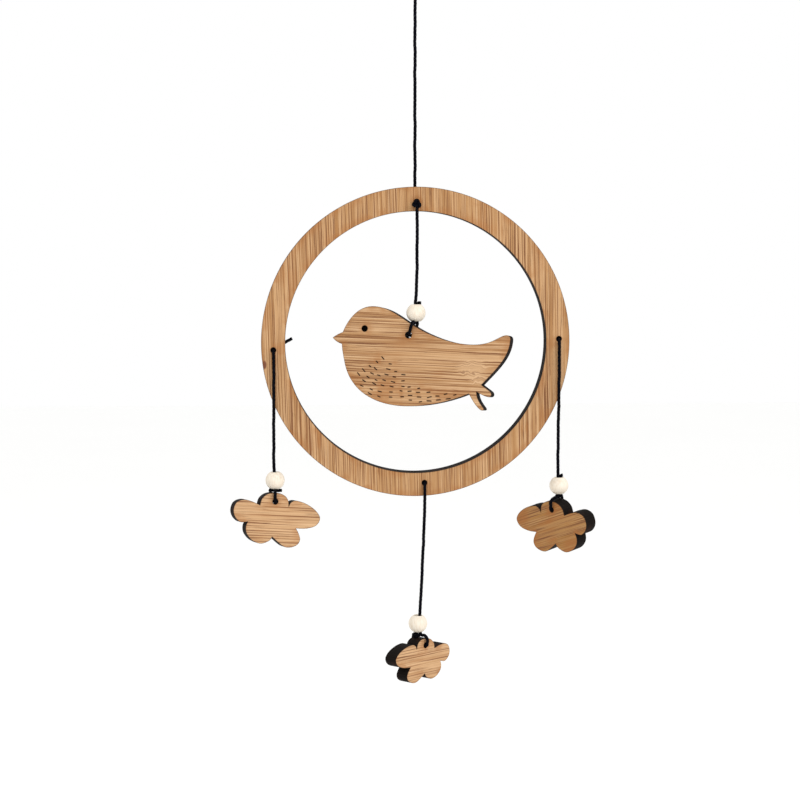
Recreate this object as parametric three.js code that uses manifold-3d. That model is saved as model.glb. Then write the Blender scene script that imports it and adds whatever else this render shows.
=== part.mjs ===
// A hanging mobile: a bird inside a ring, with three small clouds below it. The flat shapes are cut from
// bamboo board and hang on black waxed cord with round wooden beads.
// Millimetres, +Z up, the front towards -Y. The origin is the top of the loop that the mobile hangs by.
import * as THREE from "three";
import { mergeVertices } from "three/addons/utils/BufferGeometryUtils.js";
import Module from "manifold-3d";

const boardThickness = 6;

// The ring hangs from its top hole and leans a little, its lower edge further back.
const ringOuterRadius = 65;
const ringInnerRadius = 55;
const ringHoleRadius = 1.15;
const ringLean = 2.7;
const ringTopHole = [0, -3.95, -115];
const ringHoles = {
  top: { reach: 58.8, angle: 90.4 },
  right: { reach: 60.5, angle: 1.7 },
  bottom: { reach: 59.4, angle: -86.5 },
  left: { reach: 60, angle: -177.4 },
};

// The bird's own frame has its cord hole at the origin, the beak towards -X and the tail towards +X.
const birdPlace = { hole: [-2.75, -9.2, -170.4], yaw: -20.8, pitch: -3.8, roll: 0 };
const birdHoleRadius = 1.4;
const birdEye = { x: -19, z: 2.6, radius: 1.35, depth: 2.4 };

// Short cuts on the breast stand in columns that run in from the breast's edge. A column's place along the
// edge is measured from the feet, and its cuts start at `first` from the edge.
const breastColumns = [
  { along: 5.3, first: 1.4, step: 2.0, cuts: 1 },
  { along: 9.2, first: 1.0, step: 1.7, cuts: 2 },
  { along: 13.0, first: 1.3, step: 1.7, cuts: 2 },
  { along: 17.0, first: 1.4, step: 1.8, cuts: 3 },
  { along: 21.4, first: 1.6, step: 1.95, cuts: 4 },
  { along: 25.8, first: 2.7, step: 1.8, cuts: 4 },
  { along: 29.6, first: 4.0, step: 2.2, cuts: 5 },
  { along: 34.6, first: 3.0, step: 2.15, cuts: 6 },
  { along: 40.0, first: 1.9, step: 2.4, cuts: 7 },
  { along: 44.7, first: 1.3, step: 2.2, cuts: 5 },
  { along: 49.9, first: 1.8, step: 2.4, cuts: 5 },
  { along: 54.8, first: 3.8, step: 3.2, cuts: 5 },
];
const breastCut = { length: 1.65, width: 0.36, depth: 0.45, steepness: 0.7 };

// The clouds share one outline. The right and the low one show its back, so they are mirrored, and each
// has a width and a height of its own.
const cloudHoleRadius = 1.2;
const cloudPlaces = {
  cloud_left: { hole: [-59.8, -5.0, -239.7], yaw: 15.1, pitch: -4.6, roll: 1.6, width: 37.2, height: 23.0 },
  cloud_right: { hole: [60.05, -5.2, -244.1], yaw: -52.9, pitch: 8.2, roll: 3.3, width: -39.6, height: 23.4 },
  cloud_low: { hole: [2.2, -2.4, -302.4], yaw: 43.2, pitch: -1.5, roll: 10.4, width: -34.9, height: 18.9 },
};

const beadRadius = 4;
const beadBoreRadius = 1.7;
const beadMouthRadius = 1.9;
const beadPlaces = {
  bead_bird: [-0.4, -9, -161.1],
  bead_left: [-59.1, -5, -230.9],
  bead_right: [61.15, -5.1, -234.4],
  bead_low: [1.2, -2.3, -293.3],
};

const cordRadius = 0.65;
const cordSides = 8;
const stepsPerPoint = 2;

// Each cord's route along its middle, and the round knots on it. The hanging cord starts in the knot under
// its loop, goes once round the loop, down behind the ring and through the ring's top hole, and carries the
// bird. Every cord goes down through its bead, through its flat shape and back up into the bead.
const cordRoutes = {
  hanging_cord: {
    route: [
      [0.8, 0, -27.5], [2.8, 0, -21.5], [4.2, 0, -14.5], [4.0, 0, -7], [2.3, 0, -2.1], [0, 0, -0.72],
      [-2.3, 0, -2.1], [-4.0, 0, -7], [-4.2, 0, -14.5], [-2.8, 0, -21.5], [-0.8, 0, -27.5],
      [0, 0, -30.6], [0, 0, -36], [0, 0, -70], [0, 0, -108], [0, 0.1, -112.4], [0, -0.4, -114.35],
      [0, -2.0, -115.05], [0, -4.4, -115.1], [0, -7.2, -115.4], [0, -8.7, -116.4], [0, -9.1, -118.8],
      [0.1, -9.1, -128], [-0.3, -9.1, -153], [-0.75, -9.35, -157.8], [-0.9, -9.5, -164.2],
      [-1.2, -10.5, -165.3], [-2.0, -12.35, -164.9], [-2.7, -13.6, -166.0], [-3.2, -13.4, -168.0],
      [-3.6, -13.2, -169.5], [-2.75, -9.2, -170.4], [-1.6, -6.1, -170.55], [-1.0, -5.1, -169.8],
      [-0.2, -4.9, -168.0], [0.4, -5.0, -166.4], [0.4, -6.9, -165.5], [0.1, -8.45, -164.7],
      [0.05, -8.55, -158.0], [0.5, -8.6, -157.05], [1.75, -8.9, -156.95],
    ],
    knots: [
      { at: [0, 0, -28.4], size: [2.1, 1.8, 2.4] },
      { at: [-0.1, -9.05, -116.2], size: [1.9, 1.75, 2.25] },
    ],
  },
  cord_left: {
    route: [
      [-51.6, 4.3, -171.9], [-54.4, 4.4, -173.4], [-57.4, 4.6, -175.0], [-59.4, 3.9, -176.1],
      [-59.5, 1.6, -176.4], [-59.5, -1.05, -176.45], [-59.5, -3.5, -176.6], [-59.5, -4.75, -177.1],
      [-59.45, -5.05, -178.6], [-59.4, -5.0, -182], [-59.45, -5.0, -197], [-59.55, -5.0, -212],
      [-59.5, -5.2, -226], [-59.0, -5.55, -230.8], [-58.95, -5.65, -234.2], [-59.0, -6.9, -235.17],
      [-59.0, -8.3, -235.2], [-59.1, -9.1, -236.5], [-59.1, -8.9, -238.2], [-59.05, -8.6, -239.3],
      [-59.2, -7.6, -239.6], [-59.8, -5.0, -239.7], [-60.6, -2.0, -239.85], [-60.9, -1.0, -239.2],
      [-60.95, -0.8, -237.6], [-61.1, -0.9, -236.4], [-61.2, -2.2, -235.35], [-60.6, -3.4, -235.25],
      [-59.5, -4.0, -235.2], [-57.8, -4.4, -235.35], [-56.4, -4.8, -235.2],
    ],
    knots: [{ at: [-59.5, 4.15, -176.2], size: [1.9, 1.75, 1.9] }],
  },
  cord_right: {
    route: [
      [60.9, 3.9, -171.8], [60.9, 1.4, -171.9], [60.9, -1.26, -171.95], [60.9, -3.7, -172.1],
      [60.9, -4.95, -172.6], [60.9, -5.25, -174.1], [60.9, -5.2, -178], [60.85, -5.15, -195],
      [60.7, -5.1, -213], [60.7, -5.3, -229], [60.8, -5.48, -234.6], [60.7, -5.6, -237.9],
      [60.0, -6.3, -239.1], [58.25, -7.75, -239.65], [56.9, -8.8, -241.1], [57.0, -8.6, -242.8],
      [57.0, -8.2, -243.9], [57.5, -7.4, -244.35], [60.05, -5.2, -244.1], [62.7, -3.1, -243.6],
      [63.3, -2.7, -242.9], [63.1, -2.7, -241.4], [62.9, -3.0, -239.8], [62.4, -3.7, -239.1],
      [61.8, -4.6, -237.8], [61.8, -4.72, -234.6], [61.8, -4.72, -231.2], [61.95, -4.75, -230.3],
      [62.9, -4.95, -230.0],
    ],
    knots: [
      { at: [60.9, 3.95, -171.8], size: [1.9, 1.75, 1.9] },
      { at: [61.2, -4.9, -238.75], size: [1.7, 1.3, 0.75] },
    ],
  },
  cord_low: {
    route: [
      [4.0, 6.8, -232.8], [4.0, 4.2, -232.85], [4.0, 1.6, -232.96], [4.0, -0.8, -233.1],
      [4.05, -2.05, -233.6], [4.1, -2.4, -235.1], [4.1, -2.35, -239], [3.8, -2.3, -251],
      [3.2, -2.3, -265], [2.6, -2.3, -279], [2.0, -2.6, -289], [1.83, -2.76, -293.6],
      [1.9, -2.85, -296.5], [2.6, -3.6, -298.0], [3.95, -4.8, -298.1], [4.95, -5.5, -299.6],
      [4.9, -5.4, -301.2], [4.8, -5.15, -302.1], [4.3, -4.6, -302.4], [2.2, -2.4, -302.4],
      [0.0, -0.1, -302.5], [-0.6, 0.6, -301.9], [-0.6, 0.7, -300.5], [-0.4, 0.6, -299.3],
      [0.0, 0.0, -298.3], [0.9, -1.3, -298.0], [0.7, -2.6, -298.0], [-0.2, -3.4, -298.0],
      [-1.4, -3.6, -297.9],
    ],
    knots: [
      { at: [4.0, 6.85, -232.8], size: [1.9, 1.75, 1.9] },
      { at: [0.4, -2.9, -298.2], size: [1.9, 1.4, 0.85] },
    ],
  },
};

const bamboo = new THREE.MeshStandardMaterial({ color: 0xc89b69, roughness: 0.62, metalness: 0 });
const paleWood = new THREE.MeshStandardMaterial({ color: 0xf0e6d7, roughness: 0.7, metalness: 0 });
const blackCord = new THREE.MeshStandardMaterial({ color: 0x15171c, roughness: 0.55, metalness: 0 });

const wasm = await Module();
wasm.setup();

const radians = THREE.MathUtils.degToRad;

// A closed geometry as a solid that can be joined or cut.
function solidOf(geometry) {
  const bare = geometry.clone();
  bare.deleteAttribute("normal");
  bare.deleteAttribute("uv");
  const merged = mergeVertices(bare, 1e-4);
  return new wasm.Manifold(
    new wasm.Mesh({
      numProp: 3,
      vertProperties: merged.attributes.position.array,
      triVerts: new Uint32Array(merged.index.array),
    }),
  );
}

function geometryOf(solid) {
  const mesh = solid.getMesh();
  const geometry = new THREE.BufferGeometry();
  geometry.setAttribute("position", new THREE.BufferAttribute(mesh.vertProperties, 3));
  geometry.setIndex(new THREE.BufferAttribute(mesh.triVerts, 1));
  return geometry;
}

// A round hole as a path with few sides, so that it costs few faces.
function roundHole(x, y, radius, sides = 16) {
  const hole = new THREE.Path();
  for (let side = 0; side <= sides; side += 1) {
    const turn = (2 * Math.PI * side) / sides;
    const corner = [x + radius * Math.cos(turn), y + radius * Math.sin(turn)];
    if (side === 0) hole.moveTo(...corner);
    else hole.lineTo(...corner);
  }
  return hole;
}

// A flat shape as a board that stands upright, its front face at y = -thickness / 2.
function board(shape, curveSegments) {
  const geometry = new THREE.ExtrudeGeometry(shape, {
    depth: boardThickness,
    bevelEnabled: false,
    curveSegments,
  });
  geometry.rotateX(Math.PI / 2);
  return geometry.translate(0, boardThickness / 2, 0);
}

function hangingMesh(name, geometry, material, place) {
  const mesh = new THREE.Mesh(geometry, material);
  mesh.name = name;
  mesh.position.set(...place.hole);
  mesh.rotation.set(radians(place.pitch), radians(place.roll), radians(place.yaw), "ZXY");
  return mesh;
}

// The ring's own frame has its top hole at the origin.
function makeRing() {
  const toCentre = [
    -ringHoles.top.reach * Math.cos(radians(ringHoles.top.angle)),
    -ringHoles.top.reach * Math.sin(radians(ringHoles.top.angle)),
  ];
  const shape = new THREE.Shape().absarc(...toCentre, ringOuterRadius, 0, 2 * Math.PI, false);
  shape.holes.push(new THREE.Path().absarc(...toCentre, ringInnerRadius, 0, 2 * Math.PI, true));
  for (const { reach, angle } of Object.values(ringHoles)) {
    const x = toCentre[0] + reach * Math.cos(radians(angle));
    const y = toCentre[1] + reach * Math.sin(radians(angle));
    shape.holes.push(roundHole(x, y, ringHoleRadius));
  }
  const place = { hole: ringTopHole, yaw: 0, pitch: ringLean, roll: 0 };
  return hangingMesh("ring", board(shape, 48), bamboo, place);
}

// The edge of the belly and breast, from the feet to the throat.
const bellyEdge = [
  [[26.0, -23.9], [18.0, -27.2], [9.0, -29.4], [0.0, -29.5]],
  [[0.0, -29.5], [-13.5, -29.7], [-25.2, -23.9], [-27.7, -11.0]],
  [[-27.7, -11.0], [-28.3, -8.4], [-28.8, -6.0], [-28.9, -3.9]],
];

// The bird's outline, clockwise from the tip of the beak: head and back, tail, two feet, belly, breast.
function birdShape() {
  const bird = new THREE.Shape();
  bird.moveTo(-33.0, -1.3);
  bird.quadraticCurveTo(-31.4, 0.0, -28.6, 1.1);
  bird.bezierCurveTo(-26.6, 5.8, -22.5, 12.0, -15.6, 11.9);
  bird.bezierCurveTo(-6.5, 11.8, -1.5, 4.6, 9.5, 0.2);
  bird.bezierCurveTo(14.5, -1.9, 21.0, -3.9, 28.0, -3.8);
  bird.bezierCurveTo(35.0, -3.7, 37.2, -0.9, 40.4, 0.0);
  bird.bezierCurveTo(42.0, 0.4, 43.0, -0.3, 42.9, -1.6);
  bird.bezierCurveTo(42.6, -9.0, 37.0, -14.0, 31.2, -20.2);
  bird.lineTo(34.8, -22.8);
  bird.bezierCurveTo(36.0, -23.8, 35.4, -25.5, 34.0, -25.1);
  bird.bezierCurveTo(32.4, -24.8, 30.8, -24.0, 29.2, -23.0);
  bird.bezierCurveTo(29.2, -26.0, 31.0, -28.0, 32.2, -29.6);
  bird.bezierCurveTo(32.9, -30.6, 31.7, -31.0, 30.8, -30.3);
  bird.bezierCurveTo(28.8, -28.8, 27.3, -26.2, ...bellyEdge[0][0]);
  for (const [, leave, arrive, end] of bellyEdge) bird.bezierCurveTo(...leave, ...arrive, ...end);
  bird.quadraticCurveTo(-31.3, -3.2, -33.0, -1.3);
  bird.holes.push(roundHole(0, 0, birdHoleRadius));
  return bird;
}

// A small steady shift between -1 and 1 for each cut, so that the rows look cut by hand.
function wobble(number) {
  return 2 * (Math.abs(Math.sin(number * 12.9898) * 43758.5453) % 1) - 1;
}

// Each cut runs roughly along the edge of the belly near it, but is never as steep.
function breastCuts() {
  const edge = new THREE.CurvePath();
  for (const corners of bellyEdge) {
    edge.add(new THREE.CubicBezierCurve(...corners.map((corner) => new THREE.Vector2(...corner))));
  }
  const cuts = [];
  breastColumns.forEach((column, columnNumber) => {
    for (let cut = 0; cut < column.cuts; cut += 1) {
      const seed = columnNumber * 10 + cut + 1;
      const share = (column.along + 0.5 * wobble(seed)) / edge.getLength();
      const inset = column.first + column.step * cut + 0.25 * wobble(seed + 0.5);
      const run = edge.getTangentAt(share);
      const spot = edge.getPointAt(share).add(new THREE.Vector2(run.y, -run.x).multiplyScalar(inset));
      const edgeSlope = THREE.MathUtils.radToDeg(Math.atan(run.y / run.x));
      const slope = breastCut.steepness * edgeSlope + 9 * wobble(seed + 0.25);
      const length = breastCut.length * (1 + 0.28 * wobble(seed + 0.75));
      cuts.push({ x: spot.x, z: spot.y, slope, length });
    }
  });
  return cuts;
}

function makeBird() {
  const front = -boardThickness / 2;
  let solid = solidOf(board(birdShape(), 8));
  const eye = new THREE.CylinderGeometry(birdEye.radius, birdEye.radius, 2 * birdEye.depth, 16);
  eye.translate(birdEye.x, front, birdEye.z);
  solid = solid.subtract(solidOf(eye));
  for (const { x, z, slope, length } of breastCuts()) {
    const blade = new THREE.BoxGeometry(length, 2 * breastCut.depth, breastCut.width);
    blade.rotateY(-radians(slope));
    blade.translate(x, front, z);
    solid = solid.subtract(solidOf(blade));
  }
  return hangingMesh("bird", geometryOf(solid), bamboo, birdPlace);
}

// The cloud's outline around its cord hole, one line for each lobe from its notch: top, right, lower
// right, lower left and left.
const cloudLobes = [
  [[-6.4, -1.3], [-5.6, 1.2], [-3.3, 3.1], [0.2, 3.6], [3.5, 2.6], [5.3, 0.6]],
  [
    [5.65, -2.2], [6.5, -0.6], [8.8, 0.15], [13.0, -1.2],
    [17.0, -4.0], [18.95, -7.3], [17.3, -10.2], [13.3, -11.35],
  ],
  [[8.7, -11.2], [9.8, -13.3], [10.4, -15.8], [9.2, -17.9], [6.2, -18.9], [3.1, -18.2]],
  [[-1.4, -14.3], [-2.6, -15.9], [-6.2, -16.95], [-9.8, -15.4], [-12.0, -12.6], [-12.3, -9.9]],
  [[-11.5, -7.9], [-14.6, -7.95], [-16.8, -5.7], [-17.35, -2.9], [-16.1, 0.0], [-13.1, 1.1], [-9.7, 0.25]],
];
const cloudOutlineWidth = 36.35;
const cloudOutlineHeight = 22.5;

function cloudShape(width, height) {
  const scaled = ([x, z]) =>
    new THREE.Vector2((x * width) / cloudOutlineWidth, (z * height) / cloudOutlineHeight);
  const cloud = new THREE.Shape();
  cloud.moveTo(...scaled(cloudLobes[0][0]).toArray());
  cloudLobes.forEach((lobe, number) => {
    const nextNotch = cloudLobes[(number + 1) % cloudLobes.length][0];
    cloud.splineThru([...lobe.slice(1), nextNotch].map(scaled));
  });
  cloud.holes.push(roundHole(0, 0, cloudHoleRadius, 14));
  return cloud;
}

function makeCloud(name, place) {
  return hangingMesh(name, board(cloudShape(place.width, place.height), 2), bamboo, place);
}

// A bead with a bore from top to bottom, turned as one closed profile.
function makeBead(name, [x, y, z]) {
  const mouthAngle = Math.asin(beadMouthRadius / beadRadius);
  const lipHeight = beadRadius * Math.cos(mouthAngle) - (beadMouthRadius - beadBoreRadius);
  const arcSteps = 7;
  const profile = [new THREE.Vector2(beadBoreRadius, -lipHeight)];
  for (let step = 0; step <= arcSteps; step += 1) {
    const angle = mouthAngle + ((Math.PI - 2 * mouthAngle) * step) / arcSteps;
    profile.push(new THREE.Vector2(beadRadius * Math.sin(angle), -beadRadius * Math.cos(angle)));
  }
  profile.push(new THREE.Vector2(beadBoreRadius, lipHeight), profile[0].clone());
  const geometry = new THREE.LatheGeometry(profile, 16);
  const mesh = new THREE.Mesh(geometry.rotateX(Math.PI / 2), paleWood);
  mesh.name = name;
  mesh.position.set(x, y, z);
  return mesh;
}

// A smooth curve whose steps are spread over its points, so that tight bends get short steps.
class CordRoute extends THREE.CatmullRomCurve3 {
  getPointAt(share, target) {
    return this.getPoint(share, target);
  }
  getTangentAt(share, target) {
    return this.getTangent(share, target);
  }
}

function cordSection() {
  const section = new THREE.Shape();
  section.setFromPoints(roundHole(0, 0, cordRadius, cordSides).getPoints());
  return section;
}

function makeCord(name, { route, knots }) {
  const curve = new CordRoute(route.map((point) => new THREE.Vector3(...point)), false, "centripetal");
  const tube = new THREE.ExtrudeGeometry(cordSection(), {
    extrudePath: curve,
    steps: stepsPerPoint * (route.length - 1),
  });
  let solid = solidOf(tube);
  for (const { at, size } of knots) {
    const knot = new THREE.SphereGeometry(1, 8, 6).scale(...size).translate(...at);
    solid = solid.add(solidOf(knot));
  }
  const mesh = new THREE.Mesh(geometryOf(solid), blackCord);
  mesh.name = name;
  return mesh;
}

const mobile = new THREE.Group();
mobile.add(makeRing(), makeBird());
for (const [name, place] of Object.entries(cloudPlaces)) mobile.add(makeCloud(name, place));
for (const [name, place] of Object.entries(beadPlaces)) mobile.add(makeBead(name, place));
for (const [name, cord] of Object.entries(cordRoutes)) mobile.add(makeCord(name, cord));

export default mobile;
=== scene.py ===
import math

import bmesh
import bpy
import numpy as np
from mathutils import Matrix, Vector
from mathutils.geometry import delaunay_2d_cdt


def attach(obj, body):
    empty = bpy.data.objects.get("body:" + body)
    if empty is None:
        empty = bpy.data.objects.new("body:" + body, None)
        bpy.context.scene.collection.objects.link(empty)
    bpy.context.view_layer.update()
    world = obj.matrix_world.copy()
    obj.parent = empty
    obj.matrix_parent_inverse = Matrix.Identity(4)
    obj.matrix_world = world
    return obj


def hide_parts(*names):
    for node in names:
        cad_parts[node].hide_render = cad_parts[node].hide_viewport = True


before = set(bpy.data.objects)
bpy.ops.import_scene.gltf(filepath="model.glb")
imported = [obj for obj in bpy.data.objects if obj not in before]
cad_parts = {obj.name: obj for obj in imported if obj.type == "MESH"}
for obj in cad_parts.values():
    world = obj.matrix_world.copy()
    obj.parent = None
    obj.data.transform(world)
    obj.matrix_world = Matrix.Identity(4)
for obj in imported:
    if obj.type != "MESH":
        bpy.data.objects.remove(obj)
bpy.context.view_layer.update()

# A hanging mobile, dressed: bamboo boards with burnt edges, pale wooden beads and black waxed cord.
# Lengths in the dictionaries are in millimetres, and every mesh is made in metres.
mm = 0.001
scene = bpy.context.scene

# Camera

cameraSetup = {
    "place": (-57.1, -581.0, -159.2),
    "azimuth": -5.0,
    "elevation": 3.8,
    "lens": 62.14,
    "sensor": 36.0,
}


def makeCamera():
    azimuth = math.radians(cameraSetup["azimuth"])
    elevation = math.radians(cameraSetup["elevation"])
    ahead = -Vector(
        (
            math.sin(azimuth) * math.cos(elevation),
            -math.cos(azimuth) * math.cos(elevation),
            math.sin(elevation),
        )
    )
    data = bpy.data.cameras.new("camera")
    data.lens = cameraSetup["lens"]
    data.sensor_width = cameraSetup["sensor"]
    data.clip_start, data.clip_end = 0.01, 50
    camera = bpy.data.objects.new("camera", data)
    camera.location = Vector(cameraSetup["place"]) * mm
    camera.rotation_mode = "QUATERNION"
    camera.rotation_quaternion = ahead.to_track_quat("-Z", "Y")
    scene.collection.objects.link(camera)
    scene.camera = camera


makeCamera()
print("camera set")

# Shader helpers


class Wire:
    # A node's output that can be used in sums. Each sum adds a Math node.
    def __init__(self, finish, socket):
        self.finish = finish
        self.socket = socket

    def sum(self, operation, first, second):
        return self.finish.node("Math", {"operation": operation}, {0: first, 1: second})

    def __add__(self, other):
        return self.sum("ADD", self, other)

    def __radd__(self, other):
        return self.sum("ADD", other, self)

    def __sub__(self, other):
        return self.sum("SUBTRACT", self, other)

    def __rsub__(self, other):
        return self.sum("SUBTRACT", other, self)

    def __mul__(self, other):
        return self.sum("MULTIPLY", self, other)

    def __rmul__(self, other):
        return self.sum("MULTIPLY", other, self)

    def __truediv__(self, other):
        return self.sum("DIVIDE", self, other)

    def __pow__(self, other):
        return self.sum("POWER", self, other)

    def between(self, low, high):
        # 0 below low, 1 above high, smooth between them
        settings = {"interpolation_type": "SMOOTHSTEP"}
        inputs = {"Value": self, "From Min": low, "From Max": high}
        return self.finish.node("MapRange", settings, inputs)


class Finish:
    def __init__(self, name):
        self.material = bpy.data.materials.new(name)
        self.material.use_nodes = True
        self.tree = self.material.node_tree
        self.shader = self.tree.nodes["Principled BSDF"]

    def feed(self, socket, value):
        if isinstance(value, Wire):
            self.tree.links.new(value.socket, socket)
        else:
            socket.default_value = value

    def node(self, kind, settings=None, inputs=None, output=0):
        made = self.tree.nodes.new("ShaderNode" + kind)
        for key, value in (settings or {}).items():
            setattr(made, key, value)
        for key, value in (inputs or {}).items():
            self.feed(made.inputs[key], value)
        return Wire(self, made.outputs[output])

    def mix(self, share, first, second):
        settings = {"data_type": "RGBA", "blend_type": "MIX", "clamp_factor": True}
        return self.node("Mix", settings, {0: share, 6: first, 7: second}, output=2)

    def noise(self, place, scale, detail=2.0, roughness=0.5, distortion=0.0):
        inputs = {
            "Vector": place,
            "Scale": scale,
            "Detail": detail,
            "Roughness": roughness,
            "Distortion": distortion,
        }
        return self.node("TexNoise", {}, inputs)

    def bump(self, height, strength, distance):
        inputs = {"Height": height, "Strength": strength, "Distance": distance}
        return self.node("Bump", {}, inputs)

    def dress(self, **values):
        for key, value in values.items():
            self.feed(self.shader.inputs[key], value)
        return self.material


def paint(red, green, blue):
    # a colour from its 0 to 255 screen values, as the linear colour that the shaders use
    def linear(value):
        value /= 255
        return value / 12.92 if value <= 0.04045 else ((value + 0.055) / 1.055) ** 2.4

    return (linear(red), linear(green), linear(blue), 1.0)


# Cords

cordSetup = {
    "diameter": 1.42,
    "twistPitch": 5.4,
    "strands": 3,
    "strandDepth": 0.13,
    "ringStep": 0.28,
    "sides": 18,
    "stepsPerPoint": 24,
    "wave": {"reach": 0.08, "from": 2.0, "over": 4.0},
}

cordRoutes = {
    "hanging_cord": [
        (0.8, 0, -27.5), (2.8, 0, -21.5), (4.2, 0, -14.5), (4.0, 0, -7), (2.3, 0, -2.1), (0, 0, -0.72),
        (-2.3, 0, -2.1), (-4.0, 0, -7), (-4.2, 0, -14.5), (-2.8, 0, -21.5), (-0.8, 0, -27.5),
        (0, 0, -30.6), (0, 0, -36), (0, 0, -70), (0, 0, -108), (0, 0.1, -112.4), (0, -0.4, -114.35),
        (0, -2.0, -115.05), (0, -4.4, -115.1), (0, -7.2, -115.4), (0, -8.7, -116.4), (0, -9.1, -118.8),
        (0.1, -9.1, -128), (-0.3, -9.1, -153), (-0.75, -9.35, -157.8), (-0.9, -9.5, -164.2),
        (-1.2, -10.5, -165.3), (-2.0, -12.35, -164.9), (-2.7, -13.6, -166.0), (-3.2, -13.4, -168.0),
        (-3.6, -13.2, -169.5), (-2.75, -9.2, -170.4), (-1.6, -6.1, -170.55), (-1.0, -5.1, -169.8),
        (-0.2, -4.9, -168.0), (0.4, -5.0, -166.4), (0.4, -6.9, -165.5), (0.1, -8.45, -164.7),
        (0.05, -8.55, -158.0), (0.5, -8.6, -157.05), (1.75, -8.9, -156.95),
    ],
    "cord_left": [
        (-51.6, 4.3, -171.9), (-54.4, 4.4, -173.4), (-57.4, 4.6, -175.0), (-59.4, 3.9, -176.1),
        (-59.5, 1.6, -176.4), (-59.5, -1.05, -176.45), (-59.5, -3.5, -176.6), (-59.5, -4.75, -177.1),
        (-59.45, -5.05, -178.6), (-59.4, -5.0, -182), (-59.45, -5.0, -197), (-59.55, -5.0, -212),
        (-59.5, -5.2, -226), (-59.0, -5.55, -230.8), (-58.95, -5.65, -234.2), (-59.0, -6.9, -235.17),
        (-59.0, -8.3, -235.2), (-59.1, -9.1, -236.5), (-59.1, -8.9, -238.2), (-59.05, -8.6, -239.3),
        (-59.2, -7.6, -239.6), (-59.8, -5.0, -239.7), (-60.6, -2.0, -239.85), (-60.9, -1.0, -239.2),
        (-60.95, -0.8, -237.6), (-61.1, -0.9, -236.4), (-61.2, -2.2, -235.35), (-60.6, -3.4, -235.25),
        (-59.5, -4.0, -235.2), (-57.8, -4.4, -235.35), (-56.4, -4.8, -235.2),
    ],
    "cord_right": [
        (60.9, 3.9, -171.8), (60.9, 1.4, -171.9), (60.9, -1.26, -171.95), (60.9, -3.7, -172.1),
        (60.9, -4.95, -172.6), (60.9, -5.25, -174.1), (60.9, -5.2, -178), (60.85, -5.15, -195),
        (60.7, -5.1, -213), (60.7, -5.3, -229), (60.8, -5.48, -234.6), (60.7, -5.6, -237.9),
        (60.0, -6.3, -239.1), (58.25, -7.75, -239.65), (56.9, -8.8, -241.1), (57.0, -8.6, -242.8),
        (57.0, -8.2, -243.9), (57.5, -7.4, -244.35), (60.05, -5.2, -244.1), (62.7, -3.1, -243.6),
        (63.3, -2.7, -242.9), (63.1, -2.7, -241.4), (62.9, -3.0, -239.8), (62.4, -3.7, -239.1),
        (61.8, -4.6, -237.8), (61.8, -4.72, -234.6), (61.8, -4.72, -231.2), (61.95, -4.75, -230.3),
        (62.9, -4.95, -230.0),
    ],
    "cord_low": [
        (4.0, 6.8, -232.8), (4.0, 4.2, -232.85), (4.0, 1.6, -232.96), (4.0, -0.8, -233.1),
        (4.05, -2.05, -233.6), (4.1, -2.4, -235.1), (4.1, -2.35, -239), (3.8, -2.3, -251),
        (3.2, -2.3, -265), (2.6, -2.3, -279), (2.0, -2.6, -289), (1.83, -2.76, -293.6),
        (1.9, -2.85, -296.5), (2.6, -3.6, -298.0), (3.95, -4.8, -298.1), (4.95, -5.5, -299.6),
        (4.9, -5.4, -301.2), (4.8, -5.15, -302.1), (4.3, -4.6, -302.4), (2.2, -2.4, -302.4),
        (0.0, -0.1, -302.5), (-0.6, 0.6, -301.9), (-0.6, 0.7, -300.5), (-0.4, 0.6, -299.3),
        (0.0, 0.0, -298.3), (0.9, -1.3, -298.0), (0.7, -2.6, -298.0), (-0.2, -3.4, -298.0),
        (-1.4, -3.6, -297.9),
    ],
}


def centripetal(first, second, third, fourth, share):
    # one stretch of a centripetal Catmull-Rom curve, from second to third
    pairs = ((first, second), (second, third), (third, fourth))
    gaps = [max((b - a).length, 1e-9) ** 0.5 for a, b in pairs]
    if gaps[0] < 1e-4:
        gaps[0] = gaps[1]
    if gaps[2] < 1e-4:
        gaps[2] = gaps[1]
    leave = (second - first) / gaps[0] - (third - first) / (gaps[0] + gaps[1]) + (third - second) / gaps[1]
    arrive = (third - second) / gaps[1] - (fourth - second) / (gaps[1] + gaps[2]) + (fourth - third) / gaps[2]
    leave *= gaps[1]
    arrive *= gaps[1]
    square, cube = share * share, share * share * share
    return (
        second * (2 * cube - 3 * square + 1)
        + leave * (cube - 2 * square + share)
        + third * (3 * square - 2 * cube)
        + arrive * (cube - square)
    )


def evenly(points, step, closed=False):
    # points at an even spacing near the step, with both ends kept
    line = [Vector(point) for point in points]
    if closed:
        line.append(line[0].copy())
    lengths = [0.0]
    for before, after in zip(line, line[1:]):
        lengths.append(lengths[-1] + (after - before).length)
    count = max(2, round(lengths[-1] / step))
    spread, place = [], 0
    for number in range(count + 1):
        wanted = lengths[-1] * number / count
        while place < len(line) - 2 and lengths[place + 1] < wanted:
            place += 1
        span = lengths[place + 1] - lengths[place]
        share = (wanted - lengths[place]) / span if span else 0.0
        spread.append(line[place].lerp(line[place + 1], share))
    return spread[:-1] if closed else spread


def wavered(line, route):
    # hand-hung cord is never dead straight: a slight wander on the long free stretches
    wave = cordSetup["wave"]
    spots = []
    for point in line:
        near = min((point - knotted).length for knotted in route)
        free = min(1.0, max(0.0, (near - wave["from"]) / wave["over"]))
        shift = Vector(
            (
                math.sin(point.z * 0.43) + 0.5 * math.sin(point.z * 1.05 + point.x),
                0.6 * math.sin(point.z * 0.93 + 2.0),
                0.0,
            )
        )
        spots.append(point + shift * wave["reach"] * free)
    return spots


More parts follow.
